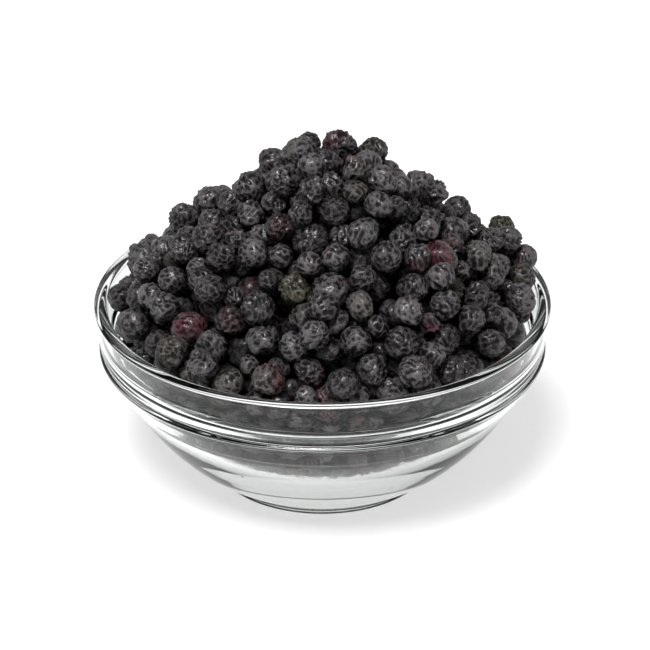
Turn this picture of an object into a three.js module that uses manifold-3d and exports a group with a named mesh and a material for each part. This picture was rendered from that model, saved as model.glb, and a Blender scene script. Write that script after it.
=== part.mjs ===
// Bowl of dried elderberries: a small clear pressed-glass bowl, heaped high with dried berries.
// Millimetres, +Z up. The origin is the middle of the bowl's foot, on the surface that it stands on.

import * as THREE from 'three';
import { mergeVertices } from 'three/addons/utils/BufferGeometryUtils.js';
import Module from 'manifold-3d';

// Bowl: foot, rounded body, stacking shoulder, upright band and rolled rim
const RIM_RADIUS = 30;
const RIM_BEAD_RADIUS = 0.9;
const RIM_LEVEL = 24.5;
const BEAD_LEVEL = 24.1;
const BEAD_HALF_HEIGHT = 0.5;
const NECK_RADIUS = 29.2;
const NECK_LEVEL = 23.5;
const BAND_INNER_RADIUS = 27.5;
const BODY_TOP_RADIUS = 27.1;
const BODY_TOP_LEVEL = 14.4;
const FOOT_RADIUS = 14.6;
const FOOT_HEIGHT = 0.8;
const FOOT_RING_WIDTH = 3.2;
const FOOT_HOLLOW = 0.5;
const LEDGE_LEVEL = 18.8;
const LEDGE_RADIUS = 25.9;
const LEDGE_ROUND = 0.45;
const FLOOR_LEVEL = 3.5;
const FLOOR_RADIUS = 9;
const BOWL_SIDES = 64;
const CURVE_STEPS = 6;

// The bends of the body's outer and inner curves, as radius and level
const OUTER_BEND = new THREE.Vector2(21.9, 5.1);
const INNER_BEND = new THREE.Vector2(20.5, 5.4);

// The outside of the stacking shoulder, as radius and level: its swelling, its ring, and the groove over it
const SHOULDER = [
  new THREE.Vector2(28.3, 16),
  new THREE.Vector2(28.7, 16.9),
  new THREE.Vector2(29, 17.5),
  new THREE.Vector2(29.5, 17.8),
  new THREE.Vector2(29.5, 18.1),
  new THREE.Vector2(29.1, 18.5),
  new THREE.Vector2(29.4, 18.9),
];

// Heap: the tops of the berries stay under a rounded cone that stands on the rim
const HEAP_HEIGHT = 24.4;
const HEAP_RADIUS = 29.6;
const RIGHT_SWELL = { x: 25, y: 8, radius: 8, height: 3.5 };
const LEFT_HOLLOW = { x: -11, y: 5, radius: 10, height: -3.5 };
const WIDEST_BERRY = 27.4;

// Berries
const BERRY_RADIUS_MIN = 1.3;
const BERRY_RADIUS_MAX = 2.6;
const GLASS_GAP = 0.45;
const CLOSENESS = 0.94;
const POUR_SEED = 14;
const TRIES_PER_BERRY = 10;
const MISSES_BEFORE_FULL = 40;
const ROLL_STEPS = 12;
const ROLL_START = 0.5;

// The core inside the berries, and the berries that stand out of it
const CORE_DEPTH = 2.4;
const CORE_SIDES = 18;
const CORE_RINGS = 5;
const CORE_SMOOTHING = 4;
const CORE_SINK = 0.3;
const SEAT_SHARE = 0.6;
const TOP_LEVEL = 22;
const OPEN_SHARE_ABOVE = 0.18;
const OPEN_SHARE_BELOW = 0.2;
const SPACING_BELOW = 1.35;
const LOOK_DIRECTIONS = 60;
const FACET_SWELL = 1.03;

/** Points along a bent curve from one profile point to another, both ends included. */
function bend(start, control, end, steps) {
  return new THREE.QuadraticBezierCurve(start, control, end).getPoints(steps);
}

/** The inner curve of the body, from its floor up to the ledge. */
function innerBody() {
  const floorEdge = new THREE.Vector2(FLOOR_RADIUS, FLOOR_LEVEL);
  const ledgeEdge = new THREE.Vector2(LEDGE_RADIUS, LEDGE_LEVEL);
  return bend(floorEdge, INNER_BEND, ledgeEdge, CURVE_STEPS);
}

/** A closed body turned about Z from a profile of radius and level that starts and ends on the axis. */
function turned(profile, sides) {
  const geometry = new THREE.LatheGeometry(profile, sides);
  geometry.rotateX(Math.PI / 2);
  return geometry;
}

/** The rim's bead, a flat oval, from under its outside up and over to its inside. */
function bead() {
  const middle = RIM_RADIUS - RIM_BEAD_RADIUS;
  const start = -Math.PI / 3;
  const oval = new THREE.EllipseCurve(middle, BEAD_LEVEL, RIM_BEAD_RADIUS, BEAD_HALF_HEIGHT, start, Math.PI);
  return oval.getPoints(8);
}

/** The glass bowl's profile, from under the middle, round the outside, back to the middle of the floor. */
function bowlProfile() {
  const footTop = new THREE.Vector2(FOOT_RADIUS, FOOT_HEIGHT);
  const bodyTop = new THREE.Vector2(BODY_TOP_RADIUS, BODY_TOP_LEVEL);
  return [
    new THREE.Vector2(0, FOOT_HOLLOW),
    new THREE.Vector2(FOOT_RADIUS - FOOT_RING_WIDTH, FOOT_HOLLOW),
    new THREE.Vector2(FOOT_RADIUS - FOOT_RING_WIDTH + FOOT_HOLLOW, 0),
    new THREE.Vector2(FOOT_RADIUS, 0),
    ...bend(footTop, OUTER_BEND, bodyTop, CURVE_STEPS),
    ...SHOULDER,
    new THREE.Vector2(NECK_RADIUS, NECK_LEVEL),
    ...bead(),
    new THREE.Vector2(BAND_INNER_RADIUS, LEDGE_LEVEL + LEDGE_ROUND),
    new THREE.Vector2(BAND_INNER_RADIUS - LEDGE_ROUND, LEDGE_LEVEL),
    ...innerBody().reverse(),
    new THREE.Vector2(0, FLOOR_LEVEL),
  ];
}

/** A seeded source of numbers from 0 to 1, the same on every run. */
function numberSource(seed) {
  let state = seed;
  return () => {
    state = (state * 48271) % 2147483647;
    return state / 2147483647;
  };
}

/** A soft round swelling or hollow of the heap: its height at the middle, nothing at its radius. */
function swelling(x, y, place) {
  const dx = (x - place.x) / place.radius;
  const dy = (y - place.y) / place.radius;
  const fall = Math.max(0, 1 - dx * dx - dy * dy);
  return place.height * fall * fall;
}

/** The level that the tops of the berries reach over a point: a cone of power 1.5 with its two swellings. */
function heapTop(x, y) {
  const share = Math.sqrt(x * x + y * y) / HEAP_RADIUS;
  const cone = HEAP_HEIGHT * (1 - share * Math.sqrt(share));
  return RIM_LEVEL + cone + swelling(x, y, RIGHT_SWELL) + swelling(x, y, LEFT_HOLLOW);
}

/** The straight runs of the inner wall that a berry can lean on, each with its slope. */
function wallRuns() {
  const points = innerBody();
  return points.slice(1).map((end, i) => {
    const start = points[i];
    const slope = (end.y - start.y) / (end.x - start.x);
    return { radius: start.x, level: start.y, slope, stretch: Math.sqrt(1 + slope * slope) };
  });
}

/** The berries of the heap, poured in one by one. Each comes to rest on the glass and on those below it. */
class Pour {
  constructor(seed) {
    this.next = numberSource(seed);
    this.runs = wallRuns();
    this.berries = [];
    this.diagonal = Math.sqrt(0.5);
  }

  /** The lowest level at which a berry's middle can be over a point. */
  restingLevel(x, y, radius) {
    const out = Math.sqrt(x * x + y * y);
    const reach = radius + GLASS_GAP;
    let level = FLOOR_LEVEL + reach;
    for (const run of this.runs) {
      if (out + (reach * run.slope) / run.stretch <= LEDGE_RADIUS) {
        level = Math.max(level, run.level + run.slope * (out - run.radius) + reach * run.stretch);
      }
    }
    const inside = Math.max(0, LEDGE_RADIUS - out);
    if (inside < reach) {
      level = Math.max(level, LEDGE_LEVEL + Math.sqrt(reach * reach - inside * inside));
    }
    if (out > BAND_INNER_RADIUS - reach) {
      const clear = reach + RIM_BEAD_RADIUS;
      const inward = RIM_RADIUS - RIM_BEAD_RADIUS - out;
      level = Math.max(level, RIM_LEVEL + Math.sqrt(Math.max(0, clear * clear - inward * inward)));
    }
    for (const other of this.berries) {
      const sum = CLOSENESS * (radius + other.radius);
      const dx = x - other.x;
      const dy = y - other.y;
      const rest = sum * sum - dx * dx - dy * dy;
      if (rest > 0) {
        level = Math.max(level, other.z + Math.sqrt(rest));
      }
    }
    return level;
  }

  /** Drops a berry at a point and lets it roll downhill a little way, in steps that halve. */
  settle(x, y, radius) {
    const d = this.diagonal;
    const ways = [[1, 0], [d, d], [0, 1], [-d, d], [-1, 0], [-d, -d], [0, -1], [d, -d]];
    let best = { x, y, z: this.restingLevel(x, y, radius), radius };
    let step = ROLL_START * radius;
    for (let i = 0; i < ROLL_STEPS; i += 1) {
      let lower = best;
      for (const [wayX, wayY] of ways) {
        const nextX = best.x + step * wayX;
        const nextY = best.y + step * wayY;
        if (nextX * nextX + nextY * nextY <= WIDEST_BERRY * WIDEST_BERRY) {
          const z = this.restingLevel(nextX, nextY, radius);
          if (z < lower.z) {
            lower = { x: nextX, y: nextY, z, radius };
          }
        }
      }
      if (lower === best) {
        step *= 0.5;
      }
      best = lower;
    }
    return best;
  }

  /** The best of several tries for one berry: the one that comes to rest furthest below the heap's top. */
  drop() {
    const spread = (this.next() + this.next()) / 2;
    const radius = BERRY_RADIUS_MIN + (BERRY_RADIUS_MAX - BERRY_RADIUS_MIN) * spread;
    let best = null;
    let bestDepth = 0;
    for (let tries = 0; tries < TRIES_PER_BERRY; tries += 1) {
      const x = (2 * this.next() - 1) * WIDEST_BERRY;
      const y = (2 * this.next() - 1) * WIDEST_BERRY;
      if (x * x + y * y <= WIDEST_BERRY * WIDEST_BERRY) {
        const berry = this.settle(x, y, radius);
        const depth = heapTop(berry.x, berry.y) - berry.z - radius;
        if (depth > bestDepth) {
          best = berry;
          bestDepth = depth;
        }
      }
    }
    return best;
  }

  /** Pours berries until no more of them find room under the heap's top. */
  fill() {
    let misses = 0;
    while (misses < MISSES_BEFORE_FULL) {
      const berry = this.drop();
      if (berry === null) {
        misses += 1;
      } else {
        this.berries.push(berry);
      }
    }
    return this.berries;
  }
}

/** Directions spread evenly over a ball, along a spiral from pole to pole. */
function evenDirections(count) {
  const turn = Math.PI * (3 - Math.sqrt(5));
  return Array.from({ length: count }, (_, i) => {
    const z = 1 - (2 * i + 1) / count;
    const r = Math.sqrt(1 - z * z);
    return new THREE.Vector3(r * Math.cos(i * turn), r * Math.sin(i * turn), z);
  });
}

/** The share of directions in which no other berry hides a berry. */
function openShare(berry, berries, directions) {
  let open = 0;
  for (const way of directions) {
    const hidden = berries.some((other) => {
      const dx = other.x - berry.x;
      const dy = other.y - berry.y;
      const dz = other.z - berry.z;
      const along = dx * way.x + dy * way.y + dz * way.z;
      return along > 0 && dx * dx + dy * dy + dz * dz - along * along < other.radius * other.radius;
    });
    if (!hidden) {
      open += 1;
    }
  }
  return open / directions.length;
}

/** The berries that show: all of those above the rim, and well spaced ones behind the glass. */
function shownBerries(berries) {
  const directions = evenDirections(LOOK_DIRECTIONS);
  const seen = berries.map((berry) => ({ berry, open: openShare(berry, berries, directions) }));
  const above = seen.filter(({ berry, open }) => berry.z >= TOP_LEVEL && open >= OPEN_SHARE_ABOVE);
  const kept = above.map(({ berry }) => berry);
  for (const { berry, open } of seen) {
    const far = kept.every((other) => {
      const apart = SPACING_BELOW * (berry.radius + other.radius);
      return Math.hypot(other.x - berry.x, other.y - berry.y, other.z - berry.z) >= apart;
    });
    if (open >= OPEN_SHARE_BELOW && far) {
      kept.push(berry);
    }
  }
  return kept;
}

/** The level of the middles of the berries round a point, the nearest counting most. */
function middleLevel(x, y, berries) {
  let sum = 0;
  let weight = 0;
  for (const berry of berries) {
    const dx = (x - berry.x) / CORE_SMOOTHING;
    const dy = (y - berry.y) / CORE_SMOOTHING;
    const near = Math.max(0.01, 1 - dx * dx - dy * dy);
    sum += near * near * berry.z;
    weight += near * near;
  }
  return sum / weight;
}

/** The berries at the top, let down where they would stand clear of the core, and the others as they are. */
function seated(shown) {
  const above = shown.filter((berry) => berry.z >= TOP_LEVEL);
  return shown.map((berry) => {
    if (berry.z < TOP_LEVEL) {
      return berry;
    }
    const highest = middleLevel(berry.x, berry.y, above) - CORE_SINK + SEAT_SHARE * berry.radius;
    return { ...berry, z: Math.min(berry.z, highest) };
  });
}

/** The core inside the berries: a body turned about Z, its top just below the middles of those that show. */
function coreGeometry(shown) {
  const profile = [new THREE.Vector2(0, FLOOR_LEVEL + CORE_DEPTH)];
  for (const point of innerBody()) {
    profile.push(new THREE.Vector2(point.x - CORE_DEPTH, point.y + CORE_DEPTH / 2));
  }
  const topRadius = BAND_INNER_RADIUS - CORE_DEPTH;
  for (let ring = CORE_RINGS; ring >= 0; ring -= 1) {
    profile.push(new THREE.Vector2((topRadius * ring) / CORE_RINGS, TOP_LEVEL));
  }
  const geometry = turned(profile, CORE_SIDES);
  const corners = geometry.attributes.position;
  const above = shown.filter((berry) => berry.z >= TOP_LEVEL);
  for (let i = 0; i < corners.count; i += 1) {
    if (corners.getZ(i) > TOP_LEVEL - 0.01) {
      corners.setZ(i, middleLevel(corners.getX(i), corners.getY(i), above) - CORE_SINK);
    }
  }
  return geometry;
}

/** A berry in few facets, at its true size and turned its own way. */
function berryGeometry(berry, next) {
  const geometry = new THREE.IcosahedronGeometry(berry.radius * FACET_SWELL, 0);
  geometry.rotateX(next() * Math.PI);
  geometry.rotateZ(next() * Math.PI);
  geometry.translate(berry.x, berry.y, berry.z);
  return geometry;
}

const wasm = await Module();
wasm.setup();

/** A solid from a closed geometry, its shared corners joined and its flat triangles dropped. */
function solidFrom(geometry) {
  geometry.deleteAttribute('normal');
  geometry.deleteAttribute('uv');
  const merged = mergeVertices(geometry);
  const corners = merged.index.array;
  const kept = [];
  for (let i = 0; i < corners.length; i += 3) {
    const [a, b, c] = corners.slice(i, i + 3);
    if (a !== b && b !== c && c !== a) {
      kept.push(a, b, c);
    }
  }
  const vertProperties = merged.attributes.position.array;
  return new wasm.Manifold(new wasm.Mesh({ numProp: 3, vertProperties, triVerts: new Uint32Array(kept) }));
}

/** A geometry from a solid. */
function geometryFrom(solid) {
  const mesh = solid.getMesh();
  const geometry = new THREE.BufferGeometry();
  geometry.setAttribute('position', new THREE.BufferAttribute(mesh.vertProperties, 3));
  geometry.setIndex(new THREE.BufferAttribute(mesh.triVerts, 1));
  geometry.computeVertexNormals();
  return geometry;
}

/** The berries that show, fused with the core. Loose scraps and sealed hollows are left out. */
function heapGeometry() {
  const next = numberSource(POUR_SEED);
  const shown = shownBerries(new Pour(POUR_SEED).fill());
  const core = solidFrom(coreGeometry(shown));
  const addBerry = (solid, berry) => solid.add(solidFrom(berryGeometry(berry, next)));
  const fused = seated(shown).reduce(addBerry, core);
  const bodies = fused.decompose();
  const largest = bodies.reduce((a, b) => (b.volume() > a.volume() ? b : a));
  return geometryFrom(largest);
}

const glass = new THREE.MeshStandardMaterial({ color: 0xdfe8e4, roughness: 0.05, metalness: 0 });
glass.transparent = true;
glass.opacity = 0.4;
const driedSkin = new THREE.MeshStandardMaterial({ color: 0x2b2a2c, roughness: 0.6, metalness: 0 });

const bowl = new THREE.Mesh(turned(bowlProfile(), BOWL_SIDES), glass);
bowl.name = 'glass_bowl';

const heap = new THREE.Mesh(heapGeometry(), driedSkin);
heap.name = 'berry_heap';

const group = new THREE.Group();
group.add(bowl, heap);

export default group;
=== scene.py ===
"""A small clear pressed-glass bowl, heaped high with dried elderberries, on a white table.

Sizes are in millimetres in the object's own frame, +Z up, with the middle of the bowl's foot at the origin,
and turn into metres only where a mesh, a lamp or the camera is made.
"""

import logging
import math
from collections.abc import Sequence
from dataclasses import dataclass, field
from enum import Enum

import bpy
import numpy as np
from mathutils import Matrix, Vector


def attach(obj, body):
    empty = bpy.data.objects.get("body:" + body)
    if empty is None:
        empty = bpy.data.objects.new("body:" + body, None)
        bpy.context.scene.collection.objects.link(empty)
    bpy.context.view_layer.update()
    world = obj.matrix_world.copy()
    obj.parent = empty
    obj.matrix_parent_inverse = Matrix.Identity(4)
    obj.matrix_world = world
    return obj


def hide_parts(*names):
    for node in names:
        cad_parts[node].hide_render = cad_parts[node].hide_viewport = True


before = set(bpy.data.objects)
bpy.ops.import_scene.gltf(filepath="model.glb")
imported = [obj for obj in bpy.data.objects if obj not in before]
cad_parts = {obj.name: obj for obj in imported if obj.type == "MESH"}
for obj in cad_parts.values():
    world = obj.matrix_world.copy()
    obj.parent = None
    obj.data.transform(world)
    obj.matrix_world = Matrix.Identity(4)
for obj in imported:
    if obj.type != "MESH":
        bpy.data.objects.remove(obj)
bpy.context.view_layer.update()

MM = 0.001

# A rounded corner takes at most this share of the run beside it
LONGEST_CUT = 0.45

BODY = "root"
log = logging.getLogger("elderberries")

Value = float | int | tuple[float, ...] | bpy.types.NodeSocket


def linear(code: str) -> tuple[float, float, float, float]:
    """Turns an sRGB hex colour into a linear one, by the sRGB transfer curve.

    Args:
        code: six hex digits after a hash, such as "#3a383b".

    Returns:
        Red, green, blue and an alpha of 1, linear.
    """
    shares = [int(code[i : i + 2], 16) / 255 for i in (1, 3, 5)]
    red, green, blue = (c / 12.92 if c <= 0.04045 else ((c + 0.055) / 1.055) ** 2.4 for c in shares)
    return red, green, blue, 1.0


def add_node(
    tree: bpy.types.NodeTree,
    kind: str,
    inputs: dict[str | int, Value] | None = None,
    **settings: str | bool | int | float,
) -> bpy.types.Node:
    """Adds a node with its settings, its values and its links.

    Args:
        tree: the node tree that the node joins.
        kind: the node's class, such as "ShaderNodeBump".
        inputs: for each input socket a value, or the output socket that feeds it.
        settings: the node's own properties.

    Returns:
        The new node.
    """
    node = tree.nodes.new(kind)
    for name, setting in settings.items():
        setattr(node, name, setting)
    for name, value in (inputs or {}).items():
        if isinstance(value, bpy.types.NodeSocket):
            tree.links.new(value, node.inputs[name])
        else:
            node.inputs[name].default_value = value
    return node


def new_material(name: str) -> tuple[bpy.types.Material, bpy.types.NodeTree]:
    """Makes an empty node material.

    Args:
        name: the material's name.

    Returns:
        The material and its node tree.
    """
    material = bpy.data.materials.new(name)
    material.use_nodes = True
    material.node_tree.nodes.clear()
    return material, material.node_tree


def bend(start: Sequence[float], control: Sequence[float], end: Sequence[float], steps: int) -> np.ndarray:
    """Points along a bent run of a profile: (1-t)^2 start + 2(1-t)t control + t^2 end, for t from 0 to 1.

    Args:
        start: radius and level where the run starts.
        control: radius and level of the corner that the run is drawn towards.
        end: radius and level where the run ends.
        steps: how many equal steps t takes.

    Returns:
        Radius and level of each point, both ends included.
    """
    first, middle, last = (np.array(point, float) for point in (start, control, end))
    t = (np.arange(steps + 1) / steps)[:, None]
    k = 1 - t
    return k * k * first + 2 * k * t * middle + t * t * last


def soft_corners(points: np.ndarray, size: float, steps: int = 3) -> np.ndarray:
    """Rounds every corner of a run of a profile, except its two ends, with a small bend.

    Args:
        points: radius and level of each corner and of the two ends.
        size: how far from a corner its bend starts, at most LONGEST_CUT of the run beside it.
        steps: steps in each bend.

    Returns:
        The profile's points with the bends in place of the corners.
    """
    parts = [points[:1]]
    for before, corner, after in zip(points, points[1:], points[2:]):
        back, ahead = before - corner, after - corner
        cut_back = min(size / np.linalg.norm(back), LONGEST_CUT)
        cut_ahead = min(size / np.linalg.norm(ahead), LONGEST_CUT)
        parts.append(bend(corner + back * cut_back, corner, corner + ahead * cut_ahead, steps))
    parts.append(points[-1:])
    return np.concatenate(parts)


def closed_grid(rows: int, columns: int) -> tuple[np.ndarray, np.ndarray]:
    """Faces of a closed surface of rings between two poles, all of them facing outwards.

    The vertices are the first pole, then the rings in order, each running counterclockwise about the axis
    that points from the first pole to the last, and then the last pole.

    Args:
        rows: number of rings.
        columns: vertices in a ring.

    Returns:
        The quads between the rings and the triangles at the poles, as vertex numbers.
    """
    here = np.arange(columns)
    beside = (here + 1) % columns
    ring = 1 + columns * np.arange(rows - 1)[:, None]
    quads = np.stack([ring + here, ring + beside, ring + columns + beside, ring + columns + here], axis=-1)
    last = rows * columns + 1
    top = 1 + (rows - 1) * columns
    first_cap = np.stack([np.zeros_like(here), 1 + beside, 1 + here], axis=-1)
    last_cap = np.stack([np.full_like(here, last), top + here, top + beside], axis=-1)
    return quads.reshape(-1, 4), np.concatenate([first_cap, last_cap])


def mesh_from(name: str, places: np.ndarray, quads: np.ndarray, triangles: np.ndarray) -> bpy.types.Mesh:
    """Puts whole arrays into a smooth mesh.

    Args:
        name: the mesh's name.
        places: place of each vertex in millimetres.
        quads: four vertex numbers a face.
        triangles: three vertex numbers a face.

    Returns:
        The mesh, in metres.
    """
    mesh = bpy.data.meshes.new(name)
    mesh.vertices.add(len(places))
    mesh.vertices.foreach_set("co", (places * MM).astype(np.float32).ravel())
    corners = np.concatenate([quads.ravel(), triangles.ravel()]).astype(np.int32)
    starts = np.concatenate([4 * np.arange(len(quads)), 4 * len(quads) + 3 * np.arange(len(triangles))])
    mesh.loops.add(len(corners))
    mesh.loops.foreach_set("vertex_index", corners)
    mesh.polygons.add(len(starts))
    mesh.polygons.foreach_set("loop_start", starts.astype(np.int32))
    mesh.polygons.foreach_set("use_smooth", np.ones(len(starts), bool))
    mesh.update(calc_edges=True)
    return mesh


def new_piece(mesh: bpy.types.Mesh, material: bpy.types.Material, node: str) -> bpy.types.Object:
    """Makes a piece of the object that stands for a CAD node.

    Args:
        mesh: its mesh, whose name it takes.
        material: its finish.
        node: the CAD node that it replaces.

    Returns:
        The piece, riding on the object's one body.
    """
    piece = bpy.data.objects.new(mesh.name, mesh)
    bpy.context.scene.collection.objects.link(piece)
    mesh.materials.append(material)
    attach(piece, BODY)
    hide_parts(node)
    faces = sum(len(polygon.vertices) - 2 for polygon in mesh.polygons)
    log.info("%s: %d triangles", piece.name, faces)
    return piece


def unit(vectors: np.ndarray) -> np.ndarray:
    """Scales vectors on the last axis to a length of 1."""
    return vectors / np.linalg.norm(vectors, axis=-1, keepdims=True)


@dataclass(frozen=True)
class PressedGlass:
    """Soda-lime glass, pressed in a mould and fire polished.

    It is clear, with a faint grey-green tint that shows where it is thick. Its surface is glossy and a little
    wavy, in rings, from the mould and from the polishing. `mirror` greys its reflections, which are fainter
    in the picture than clear glass gives. The waves' sizes are in millimetres.
    """

    tint: str = "#f8faf9"
    ior: float = 1.5
    mirror: str = "#bcbcbc"
    roughness: float = 0.0
    ring_spacing: float = 2.2
    ring_length: float = 18.0
    wave_height: float = 0.012

    def material(self) -> bpy.types.Material:
        """Builds the finish. The waves read the bowl's own UV map, whose unit is a millimetre.

        Returns:
            The material.
        """
        material, tree = new_material("soda_lime_glass_pressed")
        place = add_node(tree, "ShaderNodeUVMap", uv_map="profile_mm")
        stretch = (1 / self.ring_length, 1 / self.ring_spacing, 1.0)
        along = add_node(tree, "ShaderNodeMapping", {"Vector": place.outputs["UV"], "Scale": stretch})
        wave_look = {"Vector": along.outputs[0], "Scale": 1.0, "Detail": 1.0}
        waves = add_node(tree, "ShaderNodeTexNoise", wave_look)
        height = {"Height": waves.outputs[0], "Strength": 1.0, "Distance": self.wave_height * MM}
        bump = add_node(tree, "ShaderNodeBump", height)
        glass = {
            "Base Color": linear(self.tint),
            "Roughness": self.roughness,
            "IOR": self.ior,
            "Specular Tint": linear(self.mirror),
            "Transmission Weight": 1.0,
            "Normal": bump.outputs[0],
        }
        shader = add_node(tree, "ShaderNodeBsdfPrincipled", glass)
        add_node(tree, "ShaderNodeOutputMaterial", {"Surface": shader.outputs[0]})
        return material


@dataclass(frozen=True)
class DriedSkin:
    """The dried skin of an elderberry, shrunk over its pulp.

    The skin is ink black with a dull sheen. Its colour holds painted shade: it is near black in the fine
    creases that run over it in a net, in the hollows between its crests, on the sides that other berries hide
    and on its undersides, and greyer on the open crests. It is specked with dust and bloom. A berry may have
    a wine-red patch, or be olive brown all over, and the remains of its flower leave a reddish-tan spot.

    The vertex attributes say where: `skin` holds tone, wine and olive, and `relief` holds crest, calyx and
    crinkle. The tone is each berry's own, darkened by painted shade on its hidden sides and undersides, and
    the crest is lower in the hollows between the crests, as painted shade. `own_mm` is a vertex's place in
    its own berry, in millimetres. Dust and bloom are too fine to show at this size, so they are drawn
    coarser, as specks that are `speck_spacing` apart.
    """

    # Painted shade: the skin runs from the first colour of each pair, near black, in the creases, the hollows
    # and on hidden sides, to the second, greyer, on open crests
    crease: str = "#050405"
    crest: str = "#6a6668"
    wine: str = "#2c0a12"
    wine_crest: str = "#68303a"
    olive: str = "#1f1d16"
    olive_crest: str = "#5e5a4b"
    calyx: str = "#54413c"
    ior: float = 1.4
    rough_crease: float = 0.45
    rough_skin: float = 0.22
    net_spacing: float = 0.32
    net_length: float = 1.3
    crease_depth: float = 0.3
    crease_range: tuple[float, float] = (0.85, 1.3)
    speck_spacing: float = 0.22
    speck_height: float = 0.03
    speck_range: tuple[float, float] = (0.35, 0.65)
    speck_tones: tuple[float, float] = (0.5, 1.5)
    mottle_spacing: float = 1.1
    calm_range: tuple[float, float] = (0.38, 0.6)
    calm_crinkle: float = 0.55
    patch_range: tuple[float, float] = (0.3, 0.7)
    patch_least: float = 0.25

    def material(self) -> bpy.types.Material:
        """Builds the finish. The patterns read each berry's own millimetres.

        Returns:
            The material.
        """
        material, tree = new_material("dried_elderberry_skin")
        place, skin, relief = (
            add_node(tree, "ShaderNodeAttribute", attribute_name=name).outputs["Vector"]
            for name in ("own_mm", "skin", "relief")
        )
        tone, wine, olive = add_node(tree, "ShaderNodeSeparateXYZ", {0: skin}).outputs
        crest, calyx, crinkle = add_node(tree, "ShaderNodeSeparateXYZ", {0: relief}).outputs

        # A ridged noise whose ridges, drawn out along the berry, are the creases
        stretch = (1 / self.net_spacing, 1 / self.net_spacing, 1 / self.net_length)
        drawn_out = add_node(tree, "ShaderNodeMapping", {"Vector": place, "Scale": stretch}).outputs[0]
        net_look = {
            "Vector": drawn_out,
            "Scale": 1.0,
            "Detail": 0.6,
            "Roughness": 0.5,
            "Offset": 1.0,
            "Gain": 1.5,
            "Distortion": 0.9,
        }
        ridged = {"noise_type": "RIDGED_MULTIFRACTAL", "normalize": True}
        net = add_node(tree, "ShaderNodeTexNoise", net_look, **ridged).outputs[0]
        speck_look = {"Vector": place, "Scale": 1 / self.speck_spacing, "Detail": 2.0}
        specks = add_node(tree, "ShaderNodeTexNoise", speck_look).outputs[0]
        mottle_look = {"Vector": place, "Scale": 1 / self.mottle_spacing, "Detail": 2.0}
        mottle = add_node(tree, "ShaderNodeTexNoise", mottle_look).outputs[0]

        # Depth of the creases: less where the berry is plump, and in calm patches of each berry
        low, high = self.crease_range
        sharp = {"Value": net, "From Min": low, "From Max": high}
        groove = add_node(tree, "ShaderNodeMapRange", sharp).outputs[0]
        low, high = self.calm_range
        patchy = {"Value": mottle, "From Min": low, "From Max": high, "To Min": self.calm_crinkle}
        calm = add_node(tree, "ShaderNodeMapRange", patchy).outputs[0]
        for factor in (calm, crinkle):
            groove = add_node(tree, "ShaderNodeMath", {0: groove, 1: factor}, operation="MULTIPLY").outputs[0]
        # Painted shade: where the creases are deep, the colour below runs to the crease's near black
        level = add_node(tree, "ShaderNodeMath", {0: 1.0, 1: groove}, operation="SUBTRACT").outputs[0]

        # How far the colour goes from the crease's to the crest's: painted shade in the creases, in the
        # hollows between the crests, on hidden sides and on undersides, with the dust specks and each berry's
        # own tone
        low, high = self.speck_range
        dark, light = self.speck_tones
        dust_look = {"Value": specks, "From Min": low, "From Max": high, "To Min": dark, "To Max": light}
        dust = add_node(tree, "ShaderNodeMapRange", dust_look).outputs[0]
        share = level
        for factor in (crest, dust, tone):
            share = add_node(tree, "ShaderNodeMath", {0: share, 1: factor}, operation="MULTIPLY").outputs[0]

        # The three colours of skin, and the flower's spot over them
        pairs = ((self.crease, self.crest), (self.wine, self.wine_crest), (self.olive, self.olive_crest))
        ends = [{0: share, 6: linear(deep), 7: linear(worn)} for deep, worn in pairs]
        blends = [add_node(tree, "ShaderNodeMix", end, data_type="RGBA").outputs[2] for end in ends]
        colour, red, brown = blends
        low, high = self.patch_range
        blotchy = {"Value": mottle, "From Min": low, "From Max": high, "To Min": self.patch_least}
        blotch = add_node(tree, "ShaderNodeMapRange", blotchy).outputs[0]
        redness = add_node(tree, "ShaderNodeMath", {0: wine, 1: blotch}, operation="MULTIPLY").outputs[0]
        for amount, over in ((redness, red), (olive, brown), (calyx, linear(self.calyx))):
            layer = {0: amount, 6: colour, 7: over}
            colour = add_node(tree, "ShaderNodeMix", layer, data_type="RGBA").outputs[2]

        sheen = {"Value": level, "To Min": self.rough_crease, "To Max": self.rough_skin}
        rough = add_node(tree, "ShaderNodeMapRange", sheen).outputs[0]
        fine = {"Height": specks, "Strength": 1.0, "Distance": self.speck_height * MM}
        fine_bump = add_node(tree, "ShaderNodeBump", fine).outputs[0]
        coarse = {"Height": level, "Strength": 1.0, "Distance": self.crease_depth * MM, "Normal": fine_bump}
        bump = add_node(tree, "ShaderNodeBump", coarse).outputs[0]
        look = {"Base Color": colour, "Roughness": rough, "IOR": self.ior, "Normal": bump}
        shader = add_node(tree, "ShaderNodeBsdfPrincipled", look)
        add_node(tree, "ShaderNodeOutputMaterial", {"Surface": shader.outputs[0]})
        return material


@dataclass(frozen=True)
class OpalAcrylic:
    """A sheet of opal acrylic: it scatters the light that enters it, so it is matt white and glows."""

    white: str = "#bcbcbc"
    light: str = "#ffffff"
    glow: float = 0.6

    def material(self) -> bpy.types.Material:
        """Builds the finish.

        Returns:
            The material.
        """
        material, tree = new_material("opal_acrylic_sheet")
        look = {
            "Base Color": linear(self.white),
            "Roughness": 1.0,
            "Specular IOR Level": 0.0,
            "Emission Color": linear(self.light),
            "Emission Strength": self.glow,
        }
        shader = add_node(tree, "ShaderNodeBsdfPrincipled", look)
        add_node(tree, "ShaderNodeOutputMaterial", {"Surface": shader.outputs[0]})
        return material


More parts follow.
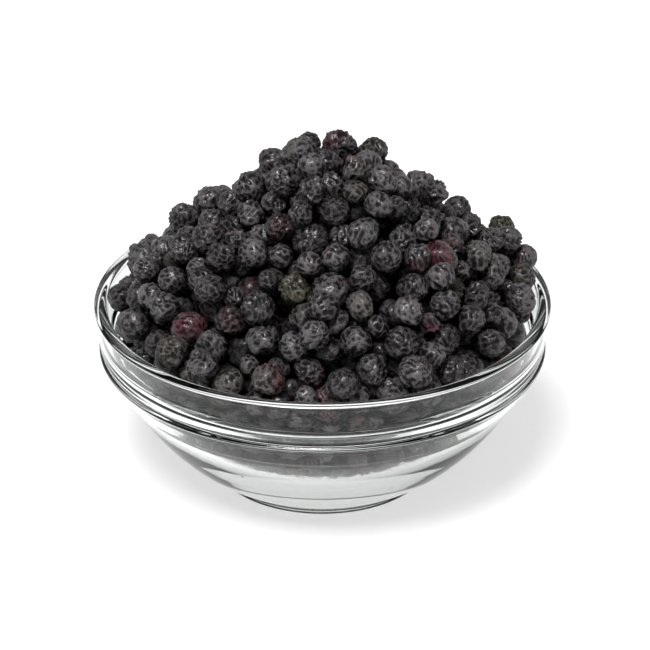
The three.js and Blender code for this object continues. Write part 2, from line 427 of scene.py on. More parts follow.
@dataclass
class GlassBowl:
    """The bowl: a low foot, a rounded body, a stacking shoulder, an upright band and a rolled rim.

    A pair is a radius and a level. The section was fitted to the grey levels down the middle of the picture,
    so its inside is an estimate.
    """

    rim_radius: float = 30.0
    bead_level: float = 24.15
    bead_half_width: float = 0.88
    bead_half_height: float = 0.45
    bead_start: float = -60.0
    neck: tuple[float, float] = (29.19, 23.5)
    band_inside: tuple[tuple[float, float], ...] = ((28.28, 22.95), (27.32, 19.54), (26.91, 18.72))
    shoulder: tuple[tuple[float, float], ...] = (
        (27.56, 14.8),
        (27.83, 15.2),
        (28.26, 16.0),
        (28.54, 16.6),
        (28.68, 16.9),
        (28.92, 17.2),
        (29.03, 17.5),
        (29.48, 17.8),
        (29.48, 18.1),
        (29.05, 18.5),
        (29.38, 18.9),
    )
    foot_radius: float = 14.6
    foot_height: float = 0.74
    foot_ring_inside: float = 13.5
    foot_hollow: float = 0.1
    foot_middle: float = 0.62
    body_top: tuple[float, float] = (27.08, 14.4)
    outer_bend: tuple[float, float] = (21.95, 5.04)
    floor_level: float = 2.29
    floor_radius: float = 8.55
    inner_bend: tuple[float, float] = (21.53, 7.85)
    ledge: tuple[float, float] = (24.81, 18.55)
    foot_slope: float = 1.0
    corner_size: float = 0.3
    gap_below: float = 0.6
    gap_above: float = 0.25
    sides: int = 240
    curve_steps: int = 30
    bead_steps: int = 24
    wall_samples: int = 400

    def inner_body(self) -> np.ndarray:
        """Radius and level along the body's inner curve, from its floor up to the ledge."""
        return bend((self.floor_radius, self.floor_level), self.inner_bend, self.ledge, self.curve_steps)

    def bead(self) -> np.ndarray:
        """The rim's bead, a flat oval: half width x cos a outwards and half height x sin a up, for angle a.

        Returns:
            Radius and level of each point, from under its outside up and over to its inside.
        """
        angle = np.radians(np.linspace(self.bead_start, 180, self.bead_steps + 1))
        middle = self.rim_radius - self.bead_half_width
        across = middle + self.bead_half_width * np.cos(angle)
        return np.stack([across, self.bead_level + self.bead_half_height * np.sin(angle)], axis=1)

    def profile(self) -> np.ndarray:
        """The section of the glass, from under the middle, round the outside and back to the middle inside.

        Returns:
            Radius and level of each point.
        """
        hollow_edge = self.foot_ring_inside - self.foot_slope
        under = [(0, self.foot_middle), (hollow_edge, self.foot_hollow), (self.foot_ring_inside, 0)]
        foot_top = (self.foot_radius, self.foot_height)
        outer = bend(foot_top, self.outer_bend, self.body_top, self.curve_steps)
        inner = self.inner_body()
        foot = np.array([*under, (self.foot_radius, 0), outer[0], outer[1]], float)
        shoulder = np.array([self.body_top, *self.shoulder, self.neck], float)
        band = np.array([*self.band_inside, self.ledge, inner[-2]], float)
        runs = [
            soft_corners(foot, self.corner_size),
            outer[2:],
            soft_corners(shoulder, self.corner_size)[1:],
            self.bead(),
            soft_corners(band, self.corner_size),
            inner[-3::-1],
            np.array([[0, self.floor_level]]),
        ]
        return np.concatenate(runs)

    def pushed_inside(self, places: np.ndarray, radii: np.ndarray) -> np.ndarray:
        """Moves berries straight inwards where they leave the inner wall less than a gap for their folds.

        The gap is wider under the ledge.

        Args:
            places: the berries' middles.
            radii: the berries' radii.

        Returns:
            The berries' new middles.
        """
        gap = np.where(places[:, 2] < self.ledge[1], self.gap_below, self.gap_above)
        wall = np.concatenate([self.inner_body(), np.array(self.band_inside[::-1], float)])
        steps = np.linspace(0, len(wall) - 1, self.wall_samples)
        wall = np.stack([np.interp(steps, np.arange(len(wall)), wall[:, i]) for i in (0, 1)], axis=1)
        out = np.hypot(places[:, 0], places[:, 1])
        middle = np.stack([out, places[:, 2]], axis=1)
        room = np.linalg.norm(middle[:, None, :] - wall[None, :, :], axis=-1).min(axis=1) - radii - gap
        share = np.where(room < 0, 1 + room / np.maximum(out, 1), 1)
        return places * np.stack([share, share, np.ones_like(share)], axis=1)

    def mesh(self) -> bpy.types.Mesh:
        """Turns the section about the axis: x = r cos a, y = r sin a, z = level.

        Returns:
            The mesh with its UV map.
        """
        profile = self.profile()
        angle = 2 * np.pi * np.arange(self.sides) / self.sides
        radius, level = profile[1:-1, 0, None], profile[1:-1, 1, None]
        rings = np.stack([radius * np.cos(angle), radius * np.sin(angle), level + 0 * angle], axis=-1)
        poles = [np.array([[0, 0, profile[i, 1]]]) for i in (0, -1)]
        places = np.concatenate([poles[0], rings.reshape(-1, 3), poles[1]])
        rows = len(profile) - 2
        quads, triangles = closed_grid(rows, self.sides)
        mesh = mesh_from("glass_bowl_clear", places, quads, triangles)
        self.map_surface(mesh, profile, quads, triangles)
        return mesh

    def map_surface(
        self, mesh: bpy.types.Mesh, profile: np.ndarray, quads: np.ndarray, triangles: np.ndarray
    ) -> None:
        """Lays a UV map in mm on the turned mesh: u is the way round at the rim, v the way along the section.

        Args:
            mesh: the turned mesh.
            profile: radius and level of each point of the section.
            quads: the mesh's quads.
            triangles: the mesh's triangles.
        """
        runs = np.linalg.norm(np.diff(profile, axis=0), axis=1)
        along = np.concatenate([[0.0], np.cumsum(runs)])
        around = 2 * np.pi * self.rim_radius / self.sides
        corners = np.concatenate([quads.ravel(), triangles.ravel()])
        row = (corners - 1) // self.sides + 1
        column = ((corners - 1) % self.sides).astype(float)
        faces = [column[: quads.size].reshape(-1, 4), column[quads.size :].reshape(-1, 3)]
        for face in faces:
            face[(face == 0) & (face.max(axis=1) == self.sides - 1)[:, None]] = self.sides
        u = np.concatenate([face.ravel() for face in faces]) * around
        v = along[np.clip(row, 0, len(along) - 1)]
        layer = mesh.uv_layers.new(name="profile_mm")
        layer.data.foreach_set("uv", np.stack([u, v], axis=1).astype(np.float32).ravel())

    def build(self, finish: PressedGlass) -> bpy.types.Object:
        """Makes the bowl with its finish."""
        return new_piece(self.mesh(), finish.material(), "glass_bowl")


@dataclass(frozen=True)
class Swelling:
    """A soft round rise or hollow of the heap: height (1 - d^2)^2, where d is the distance in radii."""

    x: float
    y: float
    radius: float
    height: float

    def rise(self, x: np.ndarray, y: np.ndarray) -> np.ndarray:
        """How much it lifts the heap.

        Args:
            x: where each point is, across.
            y: where each point is, along.

        Returns:
            The rise at each point.
        """
        dx = (x - self.x) / self.radius
        dy = (y - self.y) / self.radius
        fall = np.maximum(0, 1 - dx * dx - dy * dy)
        return self.height * fall * fall


@dataclass
class Heap:
    """The shape that the heap fills: a cone, height x (1 - share^1.5), on the rim, with its swellings."""

    rim_level: float
    height: float = 24.4
    radius: float = 29.6
    right_swell: Swelling = Swelling(25, 8, 8, 3.5)
    left_hollow: Swelling = Swelling(-11, 5, 10, -3.5)

    def top(self, x: np.ndarray, y: np.ndarray) -> np.ndarray:
        """The level that the tops of the berries reach.

        Args:
            x: where each point is, across.
            y: where each point is, along.

        Returns:
            The level at each point.
        """
        share = np.sqrt(x * x + y * y) / self.radius
        cone = self.height * (1 - share * np.sqrt(share))
        return self.rim_level + cone + self.right_swell.rise(x, y) + self.left_hollow.rise(x, y)


@dataclass(frozen=True)
class Inside:
    """The inside of the bowl that the berries roll on, as in the CAD model."""

    floor_level: float = 3.5
    floor_radius: float = 9.0
    bend: tuple[float, float] = (20.5, 5.4)
    ledge_level: float = 18.8
    ledge_radius: float = 25.9
    band_inner_radius: float = 27.5
    rim_level: float = 24.5
    rim_radius: float = 30.0
    rim_bead_radius: float = 0.9

    def wall(self, steps: int) -> np.ndarray:
        """The wall, from the floor up to the ledge.

        Args:
            steps: how many steps it takes.

        Returns:
            Radius and level of each point.
        """
        floor = (self.floor_radius, self.floor_level)
        ledge = (self.ledge_radius, self.ledge_level)
        return bend(floor, self.bend, ledge, steps)


@dataclass
class Pour:
    """The berries as poured: one by one, each rolling to rest on the glass and on those below it."""

    bowl: Inside
    heap: Heap
    seed: int = 14
    radius_min: float = 1.3
    radius_max: float = 2.6
    widest: float = 27.4
    glass_gap: float = 0.45
    closeness: float = 0.94
    tries: int = 10
    misses_before_full: int = 40
    roll_steps: int = 12
    roll_start: float = 0.5
    wall_steps: int = 6
    places: np.ndarray = field(default_factory=lambda: np.zeros((0, 3)))
    radii: np.ndarray = field(default_factory=lambda: np.zeros(0))

    def __post_init__(self) -> None:
        """Starts the source of numbers, and finds the straight runs of the wall that a berry leans on."""
        self.state = self.seed
        points = self.bowl.wall(self.wall_steps)
        rise, run = np.diff(points[:, 1]), np.diff(points[:, 0])
        slopes = rise / run
        self.runs = list(zip(points[:-1, 0], points[:-1, 1], slopes, np.sqrt(1 + slopes * slopes)))
        d = math.sqrt(0.5)
        self.ways = np.array([(1, 0), (d, d), (0, 1), (-d, d), (-1, 0), (-d, -d), (0, -1), (d, -d)], float)

    def next(self) -> float:
        """The next number from 0 to 1 of the seeded source."""
        self.state = (self.state * 48271) % 2147483647
        return self.state / 2147483647

    def resting_level(self, x: np.ndarray, y: np.ndarray, radius: float) -> np.ndarray:
        """The lowest level at which a berry's middle can be over each point.

        Args:
            x: where the berry is, across.
            y: where the berry is, along.
            radius: the berry's radius.

        Returns:
            The level: the highest of what the floor, the wall, the ledge, the rim and each berry ask for.
        """
        bowl = self.bowl
        out = np.sqrt(x * x + y * y)
        reach = radius + self.glass_gap
        level = np.full_like(out, bowl.floor_level + reach)
        for run_radius, run_level, slope, stretch in self.runs:
            leaning = run_level + slope * (out - run_radius) + reach * stretch
            on_wall = out + (reach * slope) / stretch <= bowl.ledge_radius
            level = np.where(on_wall, np.maximum(level, leaning), level)
        inside = np.maximum(0, bowl.ledge_radius - out)
        on_ledge = bowl.ledge_level + np.sqrt(np.maximum(0, reach * reach - inside * inside))
        level = np.where(inside < reach, np.maximum(level, on_ledge), level)
        clear = reach + bowl.rim_bead_radius
        inward = bowl.rim_radius - bowl.rim_bead_radius - out
        on_rim = bowl.rim_level + np.sqrt(np.maximum(0, clear * clear - inward * inward))
        level = np.where(out > bowl.band_inner_radius - reach, np.maximum(level, on_rim), level)
        total = self.closeness * (radius + self.radii)
        dx = x[..., None] - self.places[:, 0]
        dy = y[..., None] - self.places[:, 1]
        rest = total * total - dx * dx - dy * dy
        on_berry = np.where(rest > 0, self.places[:, 2] + np.sqrt(np.maximum(rest, 0)), -np.inf)
        return np.maximum(level, on_berry.max(axis=-1, initial=-np.inf))

    def settle(
        self, x: np.ndarray, y: np.ndarray, radius: float
    ) -> tuple[np.ndarray, np.ndarray, np.ndarray]:
        """Lets a berry roll downhill from each point, a little way, in steps that halve.

        Args:
            x: where it is dropped, across.
            y: where it is dropped, along.
            radius: its radius.

        Returns:
            Where it comes to rest from each point, as x, y and level.
        """
        z = self.resting_level(x, y, radius)
        step = np.full_like(x, self.roll_start * radius)
        each = np.arange(len(x))
        for _ in range(self.roll_steps):
            next_x = x[:, None] + step[:, None] * self.ways[:, 0]
            next_y = y[:, None] + step[:, None] * self.ways[:, 1]
            levels = self.resting_level(next_x, next_y, radius)
            levels[next_x * next_x + next_y * next_y > self.widest * self.widest] = np.inf
            lowest = levels.argmin(axis=1)
            lower = levels[each, lowest] < z
            x = np.where(lower, next_x[each, lowest], x)
            y = np.where(lower, next_y[each, lowest], y)
            z = np.where(lower, levels[each, lowest], z)
            step = np.where(lower, step, step * 0.5)
        return x, y, z

    def drop(self) -> bool:
        """Pours one berry, at the best of several tries: where it rests furthest below the heap's top.

        Returns:
            Whether any of the tries found room for it.
        """
        spread = (self.next() + self.next()) / 2
        radius = self.radius_min + (self.radius_max - self.radius_min) * spread
        draws = np.array([2 * self.next() - 1 for _ in range(2 * self.tries)]) * self.widest
        x, y = draws[0::2], draws[1::2]
        inside = x * x + y * y <= self.widest * self.widest
        x, y, z = self.settle(x[inside], y[inside], radius)
        depth = self.heap.top(x, y) - z - radius
        if not (depth > 0).any():
            return False
        best = depth.argmax()
        self.places = np.concatenate([self.places, [[x[best], y[best], z[best]]]])
        self.radii = np.append(self.radii, radius)
        return True

    def fill(self) -> None:
        """Pours berries until no more of them find room under the heap's top."""
        misses = 0
        while misses < self.misses_before_full:
            if not self.drop():
                misses += 1

    def outlook(self, shrinkage: float, directions: int = 80) -> "Outlook":
        """Finds, for each berry, the directions spread over a ball in which no other berry hides it.

        Args:
            shrinkage: the berries' size after drying, as a share of the size that they were poured at.
            directions: number of directions.

        Returns:
            The directions, and which of them are open for each berry.
        """
        number = np.arange(directions)
        turn = number * np.pi * (3 - math.sqrt(5))
        up = 1 - (2 * number + 1) / directions
        flat = np.sqrt(1 - up * up)
        ways = np.stack([flat * np.cos(turn), flat * np.sin(turn), up], axis=1)
        apart = self.places[None, :, :] - self.places[:, None, :]
        apart_squared = (apart**2).sum(axis=-1)
        radii_squared = (shrinkage * self.radii) ** 2
        is_open = np.zeros((len(self.radii), directions), bool)
        for column, way in enumerate(ways):
            along = apart @ way
            hides = (along > 0) & (apart_squared - along * along < radii_squared)
            is_open[:, column] = ~hides.any(axis=1)
        return Outlook(ways, is_open)


@dataclass
class Outlook:
    """What each berry has open before it: the directions, and which of them no other berry hides."""

    ways: np.ndarray
    is_open: np.ndarray
    side_weight: float = 0.15

    def shares(self) -> np.ndarray:
        """The share of directions that are open for each berry."""
        return self.is_open.mean(axis=1)

    def exposure(self, chosen: np.ndarray, normals: np.ndarray) -> np.ndarray:
        """How open each vertex is: the open directions that it faces over all that it faces.

        A direction counts by how squarely the vertex faces it and by how far up it points. The number darkens
        the skin as painted shade, on the sides that other berries hide and on the undersides, as light from
        above would leave them.

        Args:
            chosen: numbers of the berries.
            normals: the direction that each vertex of each berry faces.

        Returns:
            A number from 0 to 1 for each vertex.
        """
        # Painted shade: a direction counts more the further up it points, as if lit from above
        weight = self.side_weight + (1 - self.side_weight) * np.maximum(0, self.ways[:, 2])
        facing = np.maximum(0, normals @ self.ways.T) * weight
        seen = np.einsum("bvd,bd->bv", facing, self.is_open[chosen].astype(float))
        return seen / facing.sum(axis=-1)


class Drying(Enum):
    """How far a berry has shrunk."""

    PLUMP = (0.26, 0.100, 0.080, 0.80)
    WRINKLED = (0.48, 0.200, 0.180, 1.00)
    SHRUNKEN = (0.26, 0.330, 0.230, 1.00)

    def __init__(self, share: float, dent: float, crest: float, crinkle: float) -> None:
        """Names the four numbers.

        Args:
            share: share of the berries.
            dent: depth of the dents, as a share of the radius.
            crest: height of the crests in mm.
            crinkle: strength of the fine net of creases.
        """
        self.share = share
        self.dent = dent
        self.crest = crest
        self.crinkle = crinkle


@dataclass
class Traits:
    """What sets each berry apart: a row for each of them."""

    WINE_SHARE = 0.16
    OLIVE_SHARE = 0.10
    CALYX_SHARE = 0.25

    turns: np.ndarray
    flattening: np.ndarray
    dent: np.ndarray
    crest: np.ndarray
    crinkle: np.ndarray
    tone: np.ndarray
    wine: np.ndarray
    olive: np.ndarray
    calyx: np.ndarray

    @classmethod
    def drawn(cls, count: int, seed: int) -> "Traits":
        """Draws the traits.

        Args:
            count: number of berries.
            seed: start of the random draws.

        Returns:
            The traits of all the berries.
        """
        rng = np.random.default_rng(seed)
        kinds = list(Drying)
        kind = rng.choice(len(kinds), count, p=[k.share for k in kinds])
        vary = rng.uniform(0.75, 1.25, (3, count))
        wine = np.where(rng.random(count) < cls.WINE_SHARE, rng.uniform(0.35, 0.8, count), 0.0)
        olive = np.where(rng.random(count) < cls.OLIVE_SHARE, rng.uniform(0.15, 0.45, count), 0.0)
        return cls(
            turns=cls.random_turns(rng, count),
            flattening=rng.uniform(0.88, 1.0, count),
            dent=np.array([k.dent for k in kinds])[kind] * vary[0],
            crest=np.array([k.crest for k in kinds])[kind] * vary[1],
            crinkle=np.array([k.crinkle for k in kinds])[kind] * vary[2],
            tone=rng.uniform(0.55, 1.4, count),
            wine=wine,
            olive=olive,
            calyx=np.where(rng.random(count) < cls.CALYX_SHARE, rng.uniform(0.4, 0.9, count), 0.0),
        )

    @staticmethod
    def random_turns(rng: np.random.Generator, count: int) -> np.ndarray:
        """Random turns, even over all of them: the matrices of unit quaternions.

        Args:
            rng: the source of draws.
            count: number of turns.

        Returns:
            A 3 by 3 matrix for each.
        """
        q = rng.normal(size=(count, 4))
        w, x, y, z = unit(q).T
        rows = [
            [1 - 2 * (y * y + z * z), 2 * (x * y - z * w), 2 * (x * z + y * w)],
            [2 * (x * y + z * w), 1 - 2 * (x * x + z * z), 2 * (y * z - x * w)],
            [2 * (x * z - y * w), 2 * (y * z + x * w), 1 - 2 * (x * x + y * y)],
        ]
        return np.moveaxis(np.array(rows), -1, 0)


@dataclass
class Detail:
    """How finely a berry is meshed, and whether its crests are in the mesh."""

    rings: int
    columns: int
    crests: bool


class Tier(Enum):
    """How much of a berry shows: from outside, in gaps and through the glass, or hardly at all."""

    OUTER = Detail(26, 46, True)
    BEHIND = Detail(12, 20, True)
    INSIDE = Detail(4, 8, False)


@dataclass
class Berries:
    """The dried elderberries, each shaped on its own and placed as poured."""

    places: np.ndarray
    radii: np.ndarray
    traits: Traits
    outlook: Outlook
    seed: int = 5
    dents: int = 4
    dent_width: tuple[float, float] = (0.35, 0.75)
    dent_depth: tuple[float, float] = (0.3, 1.0)
    dent_lip: float = 0.3
    lobes: int = 3
    lobe_waves: float = 1.1
    lobe_depth: float = 0.09
    waves: int = 9
    crest_spacing: float = 1.1
    crest_width: float = 1.2
    calyx_radius: float = 0.28
    calyx_depth: float = 0.12
    calyx_lip: float = 0.07
    scar_depth: float = 0.10
    # Painted shade: the share of a berry's tone that is left where other berries hide a vertex on every side
    tone_in_full_shade: float = 0.35
    # Painted shade: the grey of the colour in the hollows between the crests, and how much greyer it gets on
    # them
    hollow_shade_grey: float = 0.1
    crest_grey: float = 1.05
    triangle_limit: int = 190_000

    def directions(self, detail: Detail) -> tuple[np.ndarray, np.ndarray, np.ndarray]:
        """The unit directions of a berry's vertices, with the angle from the flower end and the way round.

        Args:
            detail: the grid's rings and columns.

        Returns:
            Directions, angles from the last pole, and angles round it.
        """
        tilt = np.pi * (1 - np.arange(1, detail.rings + 1) / (detail.rings + 1))
        turn = 2 * np.pi * np.arange(detail.columns) / detail.columns
        tilt, turn = (grid.ravel() for grid in np.meshgrid(tilt, turn, indexing="ij"))
        tilt = np.concatenate([[np.pi], tilt, [0.0]])
        turn = np.concatenate([[0.0], turn, [0.0]])
        flat = np.sin(tilt)
        return np.stack([flat * np.cos(turn), flat * np.sin(turn), np.cos(tilt)], axis=1), tilt, turn

    def shaped(self, chosen: np.ndarray, detail: Detail) -> tuple[np.ndarray, dict[str, np.ndarray]]:
        """Shapes berries on whole arrays.

        A vertex lies at radius x (1 + lobes + dents) + crests + flower end + scar along its direction. Lobes
        are a few slow waves. A dent is -exp(-q^2) with a low lip at q = 1.5, where q is the distance from its
        middle in widths. A crest is 1 - |n| / crest_width, and 0 beyond that, where n is a sum of waves, so
        that crests run along the lines where n is 0. The scar of the stalk is a pit, and the flower end is a
        pit inside a lip with five points.

        Args:
            chosen: numbers of the berries.
            detail: the grid's rings and columns.

        Returns:
            The place of each vertex of each berry, and the vertex attributes by name.
        """
        rng = np.random.default_rng(self.seed)
        total = len(self.radii)
        dent_ways = unit(rng.normal(size=(total, self.dents, 3)))
        widths = rng.uniform(*self.dent_width, (total, self.dents))
        depths = rng.uniform(*self.dent_depth, (total, self.dents))
        wave_ways = unit(rng.normal(size=(total, self.waves, 3)))
        wave_numbers = 2 * np.pi / self.crest_spacing * rng.uniform(0.7, 1.3, (total, self.waves))
        phases = rng.uniform(0, 2 * np.pi, (total, self.waves))
        lobe_ways = rng.normal(size=(total, self.lobes, 3)) * self.lobe_waves
        lobe_phases = rng.uniform(0, 2 * np.pi, (total, self.lobes))
        patch_ways = unit(rng.normal(size=(total, 3)))
        offsets = rng.uniform(-50, 50, (total, 3))

        way, tilt, turn = self.directions(detail)
        radius = self.radii[chosen, None]
        traits = self.traits
        dent_angle = np.arccos(np.clip(np.einsum("bkc,vc->bkv", dent_ways[chosen], way), -1, 1))
        q = dent_angle / widths[chosen][..., None]
        hollow = -np.exp(-q * q) + self.dent_lip * np.exp(-(((q - 1.5) / 0.45) ** 2))
        dents = (hollow * depths[chosen][..., None]).sum(axis=1) * traits.dent[chosen, None]
        lobe_angle = np.einsum("bkc,vc->bkv", lobe_ways[chosen], way) + lobe_phases[chosen][..., None]
        shape = 1 + self.lobe_depth * np.sin(lobe_angle).mean(axis=1) + dents

        crest = np.full_like(shape, 0.5)
        relief = np.zeros_like(shape)
        if detail.crests:
            reach = wave_ways[chosen] * (wave_numbers[chosen] * radius)[..., None]
            field_sum = np.sin(np.einsum("bkc,vc->bkv", reach, way) + phases[chosen][..., None]).sum(axis=1)
            field_sum /= math.sqrt(self.waves / 2)
            crest = 1 - np.minimum(np.abs(field_sum), self.crest_width) / self.crest_width
            relief = (crest - 0.5) * traits.crest[chosen, None] * 2

        crown = tilt[None, :] * radius / self.calyx_radius
        star = 0.65 + 0.35 * np.cos(5 * turn)
        pit = -self.calyx_depth * np.exp(-((1.4 * crown) ** 2))
        calyx_rise = pit + self.calyx_lip * star * np.exp(-(((crown - 1) / 0.4) ** 2))
        scar = (np.pi - tilt[None, :]) * radius / self.calyx_radius
        scar_rise = -self.scar_depth * np.exp(-((1.5 * scar) ** 2))
        length = radius * shape + relief + calyx_rise + scar_rise
        local = way[None] * length[..., None]
        local[..., 2] *= traits.flattening[chosen, None]
        placed = np.einsum("bij,bvj->bvi", traits.turns[chosen], local) + self.places[chosen][:, None, :]

        patch_near = np.einsum("bc,vc->bv", patch_ways[chosen], way)
        wine = traits.wine[chosen, None] * np.clip((patch_near + traits.wine[chosen, None] - 0.2) / 0.5, 0, 1)
        calyx = traits.calyx[chosen, None] * np.clip((1.35 - crown) / 0.5, 0, 1)
        even = np.ones_like(shape)
        normals = np.einsum("bij,vj->bvi", traits.turns[chosen], way)
        # Painted shade: each berry's own tone is darkened where other berries hide a vertex, and on its
        # underside
        tone = traits.tone[chosen, None] * (self.tone_in_full_shade + self.outlook.exposure(chosen, normals))
        olive = traits.olive[chosen, None] * even
        # Painted shade: the colour is darker in the hollows between the crests than on them
        grey = self.hollow_shade_grey + self.crest_grey * crest
        crinkle = traits.crinkle[chosen, None] * even
        attributes = {
            "own_mm": local + offsets[chosen][:, None, :],
            "skin": np.stack([tone, wine, olive], axis=-1),
            "relief": np.stack([grey, calyx, crinkle], axis=-1),
        }
        return placed, attributes

    def piece(
        self, name: str, chosen: np.ndarray, detail: Detail, material: bpy.types.Material
    ) -> bpy.types.Object:
        """Makes one piece of many berries.

        Args:
            name: the piece's name.
            chosen: numbers of its berries.
            detail: how finely they are meshed.
            material: their finish.

        Returns:
            The piece.
        """
        placed, attributes = self.shaped(chosen, detail)
        quads, triangles = closed_grid(detail.rings, detail.columns)
        step = placed.shape[1] * np.arange(len(chosen))[:, None, None]
        all_quads, all_triangles = (quads + step).reshape(-1, 4), (triangles + step).reshape(-1, 3)
        mesh = mesh_from(name, placed.reshape(-1, 3), all_quads, all_triangles)
        for label, values in attributes.items():
            layer = mesh.attributes.new(label, "FLOAT_VECTOR", "POINT")
            layer.data.foreach_set("vector", values.astype(np.float32).ravel())
        return new_piece(mesh, material, "berry_heap")

    def build(self, label: str, chosen: np.ndarray, detail: Detail, material: bpy.types.Material) -> None:
        """Makes the pieces of one sort of berry, each under the limit of triangles.

        Args:
            label: start of the pieces' names.
            chosen: numbers of the berries.
            detail: how finely they are meshed.
            material: their finish.
        """
        triangles = 2 * detail.rings * detail.columns * len(chosen)
        parts = max(1, math.ceil(triangles / self.triangle_limit))
        for number, share in enumerate(np.array_split(chosen, parts), start=1):
            name = f"{label}_{number}" if parts > 1 else label
            self.piece(name, share, detail, material)


@dataclass
class Camera:
    """The camera that took the picture, found from the rim's outline."""

    elevation: float = 27.68
    distance: float = 450.0
    lens: float = 188.87
    sensor: float = 36.0
    target: tuple[float, float, float] = (0.33, 0.0, 20.38)

    def toward(self) -> np.ndarray:
        """The direction from the target to the camera."""
        tilt = math.radians(self.elevation)
        return np.array([0.0, -math.cos(tilt), math.sin(tilt)])

    def seen(self, places: np.ndarray) -> np.ndarray:
        """Where places appear in the plane through the target.

        Args:
            places: places in millimetres.

        Returns:
            Millimetres to the right and up in that plane, and millimetres from it towards the camera.
        """
        toward = self.toward()
        right = np.array([1.0, 0.0, 0.0])
        up = np.cross(toward, right)
        apart = places - np.array(self.target)
        near = apart @ toward
        scale = self.distance / (self.distance - near)
        return np.stack([apart @ right * scale, apart @ up * scale, near], axis=1)

    def build(self) -> None:
        """Makes the camera and looks through it."""
        data = bpy.data.cameras.new("camera")
        data.lens = self.lens
        data.sensor_width = self.sensor
        data.clip_start = 1 * MM
        data.clip_end = 10_000 * MM
        camera = bpy.data.objects.new("camera", data)
        bpy.context.scene.collection.objects.link(camera)
        toward = Vector(self.toward())
        camera.location = (Vector(self.target) + toward * self.distance) * MM
        camera.rotation_euler = toward.to_track_quat("Z", "Y").to_euler()
        bpy.context.scene.camera = camera


@dataclass
class Studio:
    """A white table that glows a little, under one soft lamp, in a plain white room."""

    table_radius: float = 2500.0
    table_thickness: float = 40.0
    table_sides: int = 96
    table_drop: float = 0.03
    room_white: str = "#ffffff"
    zenith: float = 0.25
    horizon: float = 0.5
    lamp_height: float = 560.0
    lamp_size: float = 260.0
    lamp_radiance: float = 26.0
    lamp_place: tuple[float, float] = (-90.0, -300.0)
    exposure: float = 0.1
    gamma: float = 0.82

    def build(self) -> None:
        """Makes the table, the lamp and the surroundings."""
        view = bpy.context.scene.view_settings
        view.view_transform = "Standard"
        view.exposure = self.exposure
        view.gamma = self.gamma
        self.table()
        self.lamp()
        self.surroundings()

    def table(self) -> None:
        """Makes the table top: a wide thin disc just under the foot."""
        angle = 2 * np.pi * np.arange(self.table_sides) / self.table_sides
        across, along = self.table_radius * np.cos(angle), self.table_radius * np.sin(angle)
        levels = (-self.table_thickness, -self.table_drop)
        rings = [np.stack([across, along, np.full_like(angle, level)], axis=1) for level in levels]
        bottom, top = ([[0, 0, level]] for level in levels)
        places = np.concatenate([bottom, *rings, top])
        quads, triangles = closed_grid(len(levels), self.table_sides)
        mesh = mesh_from("table", places, quads, triangles)
        mesh.polygons.foreach_set("use_smooth", np.zeros(len(mesh.polygons), bool))
        mesh.materials.append(OpalAcrylic().material())
        table = bpy.data.objects.new("table", mesh)
        bpy.context.scene.collection.objects.link(table)

    def lamp(self) -> None:
        """Makes the soft lamp overhead. A disc's power is its radiance x pi x its area."""
        data = bpy.data.lights.new("soft_box", "AREA")
        data.shape = "DISK"
        data.size = self.lamp_size * MM
        data.energy = self.lamp_radiance * math.pi * math.pi * (self.lamp_size * MM / 2) ** 2
        lamp = bpy.data.objects.new("soft_box", data)
        bpy.context.scene.collection.objects.link(lamp)
        place = Vector((*self.lamp_place, self.lamp_height))
        lamp.location = place * MM
        lamp.rotation_euler = place.to_track_quat("Z", "Y").to_euler()

    def surroundings(self) -> None:
        """Makes the white room. Its light changes evenly with height, and is strongest at the horizon."""
        world = bpy.data.worlds.new("white_room")
        bpy.context.scene.world = world
        world.use_nodes = True
        tree = world.node_tree
        tree.nodes.clear()
        place = add_node(tree, "ShaderNodeTexCoord")
        height = add_node(tree, "ShaderNodeSeparateXYZ", {0: place.outputs["Generated"]}).outputs["Z"]
        levels = {"Value": height, "To Min": self.horizon, "To Max": self.zenith}
        strength = add_node(tree, "ShaderNodeMapRange", levels).outputs[0]
        light = {"Color": linear(self.room_white), "Strength": strength}
        background = add_node(tree, "ShaderNodeBackground", light)
        add_node(tree, "ShaderNodeOutputWorld", {"Surface": background.outputs[0]})


# The berries have shrunk from the spheres that they were poured as, and have spread and sunk on to the glass
SHRINKAGE = 0.93
PILE_SPREAD = 1.015
PILE_SINK = 1.0

# The least share of directions that are open for a berry of the outer tier, how many mm below the rim it may
# lie, and the least share for a berry of the tier behind it
OUTER_SHARE = 0.13
OUTER_DEPTH = 2.5
BEHIND_SHARE = 0.015

# Where the picture shows berries of another colour: mm to the right and up in the plane through the target
WINE_BERRIES = ((-18.1, 0.9), (-6.3, -7.5), (14.1, 8.3))
OLIVE_BERRIES = ((-4.4, 6.3), (-4.0, 17.2), (-0.3, 0.9), (16.9, 4.0), (22.7, 13.6))

# How strong that colour is on them
WINE_STRENGTH = 0.9
OLIVE_STRENGTH = 0.7


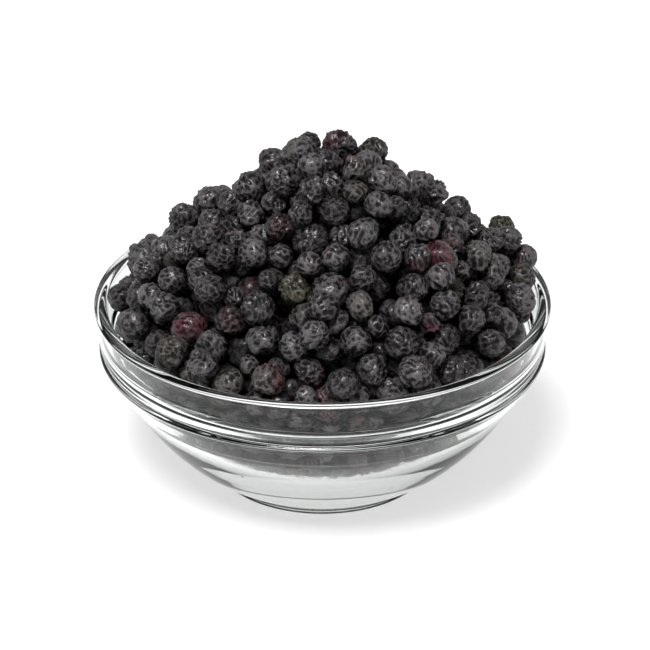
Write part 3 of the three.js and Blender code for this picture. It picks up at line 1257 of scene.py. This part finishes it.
def berries_at(spots: Sequence[tuple[float, float]], seen: np.ndarray, radii: np.ndarray) -> np.ndarray:
    """Finds the berries that show at places in the picture.

    Args:
        spots: mm to the right and up in the plane through the target.
        seen: where each berry appears there, and how near it is.
        radii: the berries' radii.

    Returns:
        The number of the nearest berry to the camera at each place.
    """
    found = []
    for spot in spots:
        apart = np.linalg.norm(seen[:, :2] - np.array(spot), axis=1)
        nearness = np.where(apart < 0.8 * radii, seen[:, 2], -np.inf)
        found.append(int(nearness.argmax()))
    return np.unique(found)


def main() -> None:
    """Builds the bowl, the berries and the studio."""
    logging.basicConfig(level=logging.INFO, format="%(name)s: %(message)s")
    camera = Camera()
    camera.build()

    bowl = GlassBowl()
    bowl.build(PressedGlass())

    inside_form = Inside()
    pour = Pour(inside_form, Heap(inside_form.rim_level))
    pour.fill()
    outlook = pour.outlook(SHRINKAGE)
    shares = outlook.shares()
    log.info("%d berries poured", len(pour.radii))

    traits = Traits.drawn(len(pour.radii), seed=23)
    seen = camera.seen(pour.places)
    for number in berries_at(WINE_BERRIES, seen, pour.radii):
        traits.wine[number] = WINE_STRENGTH
    for number in berries_at(OLIVE_BERRIES, seen, pour.radii):
        traits.olive[number] = OLIVE_STRENGTH

    outer_level = inside_form.rim_level - OUTER_DEPTH
    outer = (shares >= OUTER_SHARE) & (pour.places[:, 2] >= outer_level)
    behind = ~outer & (shares >= BEHIND_SHARE)
    inside = ~outer & ~behind
    radii = pour.radii * SHRINKAGE
    spread = pour.places * [PILE_SPREAD, PILE_SPREAD, 1.0]
    spread[:, 2] -= PILE_SINK * np.maximum(0, 1 - spread[:, 2] / inside_form.rim_level)
    berries = Berries(bowl.pushed_inside(spread, radii), radii, traits, outlook)
    skin = DriedSkin().material()
    berries.build("berries_outer", np.flatnonzero(outer), Tier.OUTER.value, skin)
    berries.build("berries_behind", np.flatnonzero(behind), Tier.BEHIND.value, skin)
    berries.build("berries_inside", np.flatnonzero(inside), Tier.INSIDE.value, skin)

    Studio().build()


if __name__ == "__main__":
    main()
